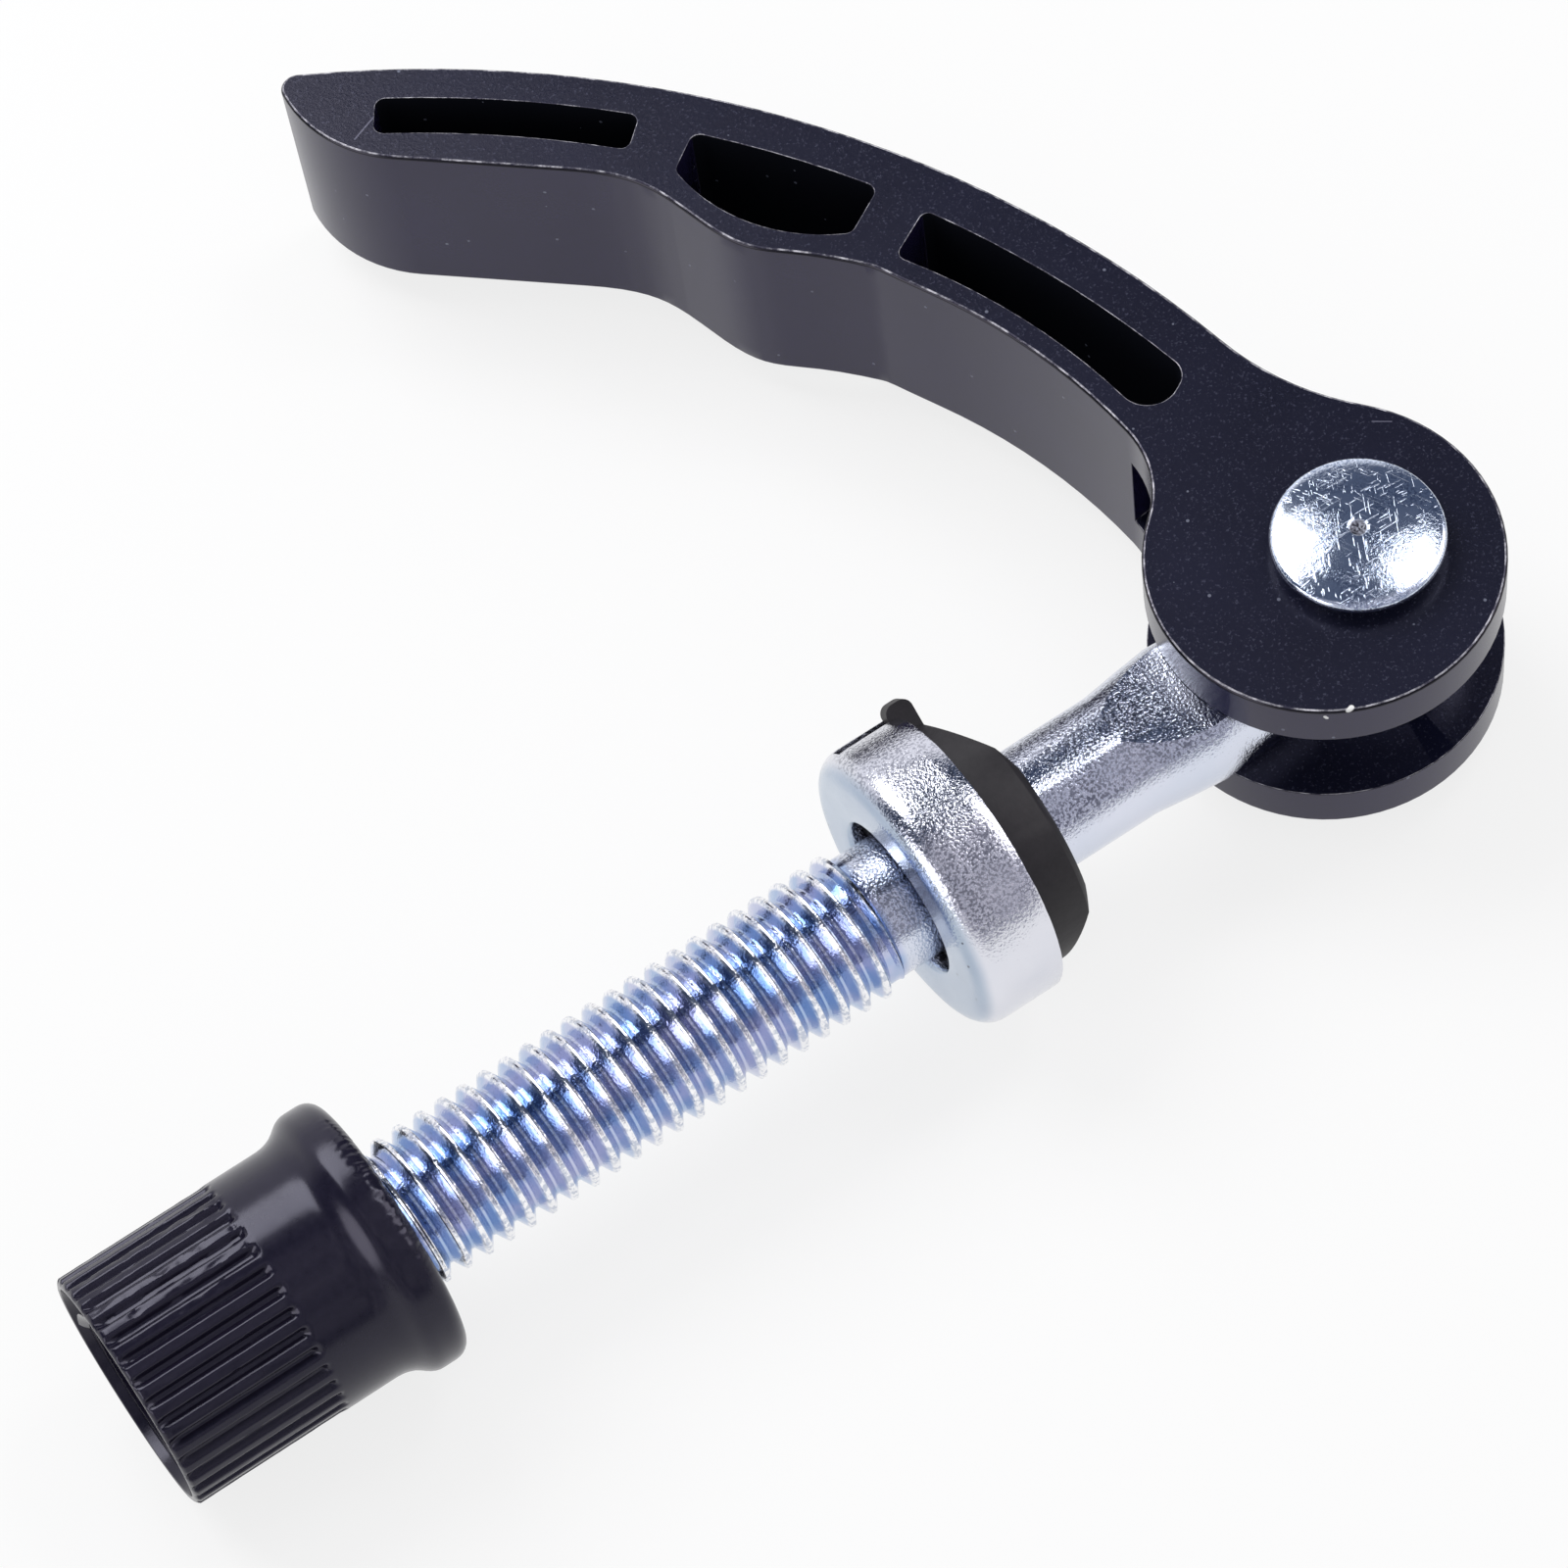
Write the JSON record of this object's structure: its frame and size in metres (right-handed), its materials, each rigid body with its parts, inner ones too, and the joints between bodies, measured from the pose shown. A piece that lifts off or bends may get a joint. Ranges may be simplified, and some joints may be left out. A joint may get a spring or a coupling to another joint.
{
  "type": "cam lever",
  "caption": "Quick-release cam lever: a curved black lever with an off-centre round head riveted to a long threaded eye bolt, with a keyed saddle washer pair and a knurled adjusting nut.",
  "frame": {"origin": "centre of the steel washer's clamping face, on the bolt's axis", "axes": "+X runs along the bolt towards the pivot, +Z is the pivot's axis on the rivet head's side, +Y is the side that the lever's arm is on"},
  "size_m": [0.0819, 0.0665, 0.0158],
  "materials": {
    "black_coat": "satin black coat on aluminium, fine speckle, rubbed edges",
    "bright_rivet": "bright plated steel with fine scratches",
    "zinc_bolt": "bluish bright zinc plate on forged steel",
    "black_plastic": "matte black moulded plastic",
    "zinc_washer": "bright zinc plate with a mottled rim",
    "black_gloss": "glossy black coat, knocked along the knurl"
  },
  "bodies": {
    "bolt_body": {"eye_bolt": "zinc_bolt"},
    "lever_body": {"lever": "black_coat", "pivot_pin": "bright_rivet"},
    "washer_pair": {"cam_washer": "black_plastic", "steel_washer": "zinc_washer"},
    "nut_body": {"adjusting_nut": "black_gloss"}
  },
  "joints": [
    {"name": "lever_swing", "type": "hinge", "parent": "bolt_body", "child": "lever_body", "pos_m": [0.0287, 0, 0], "axis": [0, 0, 1], "range_deg": [-220, 30]},
    {"name": "washer_slide", "type": "slide", "parent": "bolt_body", "child": "washer_pair", "axis": [1, 0, 0], "range_m": [-0.012, 0.0098]},
    {"name": "nut_travel", "type": "slide", "parent": "bolt_body", "child": "nut_body", "axis": [1, 0, 0], "range_m": [-0.012, 0.0178]}
  ]
}
